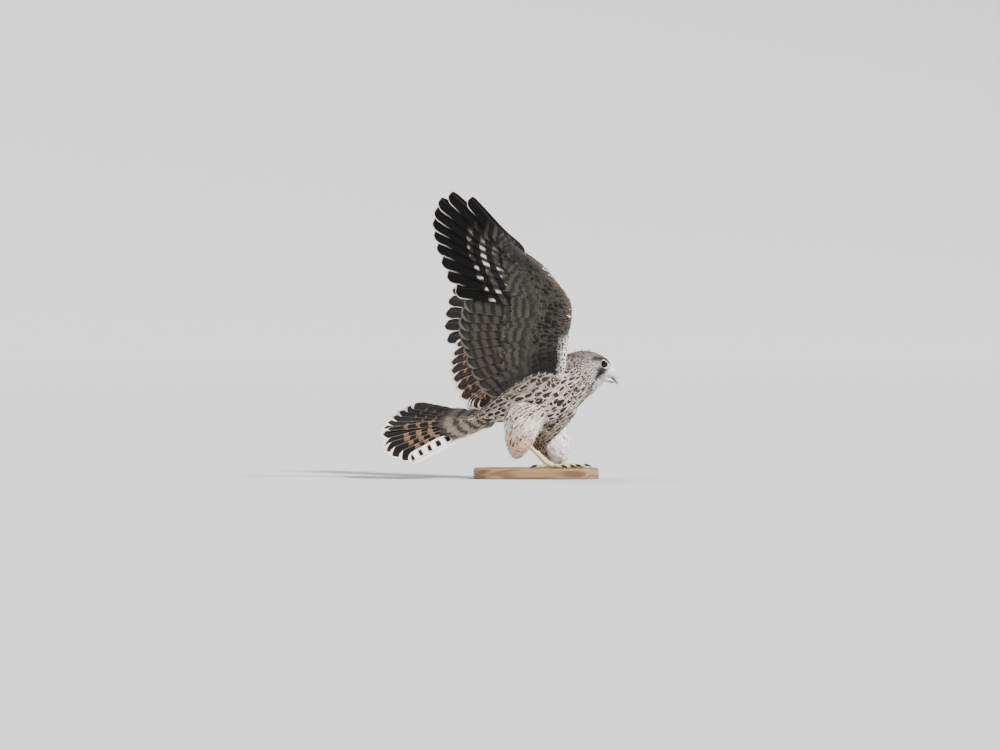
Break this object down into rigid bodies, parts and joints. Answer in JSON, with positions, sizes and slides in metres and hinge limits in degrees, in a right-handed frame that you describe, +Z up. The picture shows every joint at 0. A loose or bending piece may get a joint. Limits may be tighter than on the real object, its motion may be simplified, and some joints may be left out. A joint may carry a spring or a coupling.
{
  "type": "common kestrel",
  "caption": "Young common kestrel on a plain base, leaning forward, near wing held straight up, far wing out behind it, tail fanned low.",
  "frame": {"origin": "centre of the underside of the base, at floor level", "axes": "+X towards the bill, +Y towards the bird's left side (away from the camera), +Z up"},
  "size_m": [0.2857, 0.2874, 0.3436],
  "materials": {
    "plumage_head": "soft matte feathers, grey-brown with fine dark streaks",
    "plumage_body": "soft matte feathers, buff with dark brown shaft streaks",
    "plumage_wing": "matte to faintly silky vanes, dark brown with pale notches and fringes",
    "plumage_tail": "matte vanes, rufous with black bars and pale tips",
    "eye": "polished, very dark brown, almost black",
    "cere": "soft waxy skin, pale greenish yellow",
    "beak": "smooth horn, bluish grey with a dark tip",
    "leg_skin": "scaly skin, pale yellow, satin",
    "claw": "smooth black horn",
    "base_wood": "satin varnished dark wood"
  },
  "bodies": {
    "root": {"head": "plumage_head", "neck": "plumage_head", "torso": "plumage_body", "thigh_right": "plumage_body", "thigh_left": "plumage_body", "wing_right_arm": "plumage_wing", "wing_right_hand": "plumage_wing", "wing_left_arm": "plumage_wing", "wing_left_hand": "plumage_wing", "tail": "plumage_tail", "eye_right": "eye", "eye_left": "eye", "cere": "cere", "beak_upper": "beak", "beak_lower": "beak", "tarsus_right": "leg_skin", "tarsus_left": "leg_skin", "foot_right": "leg_skin", "foot_left": "leg_skin", "claw_right_inner": "claw", "claw_right_middle": "claw", "claw_right_outer": "claw", "claw_right_hind": "claw", "claw_left_inner": "claw", "claw_left_middle": "claw", "claw_left_outer": "claw", "claw_left_hind": "claw", "stand_base": "base_wood"}
  },
  "joints": []
}
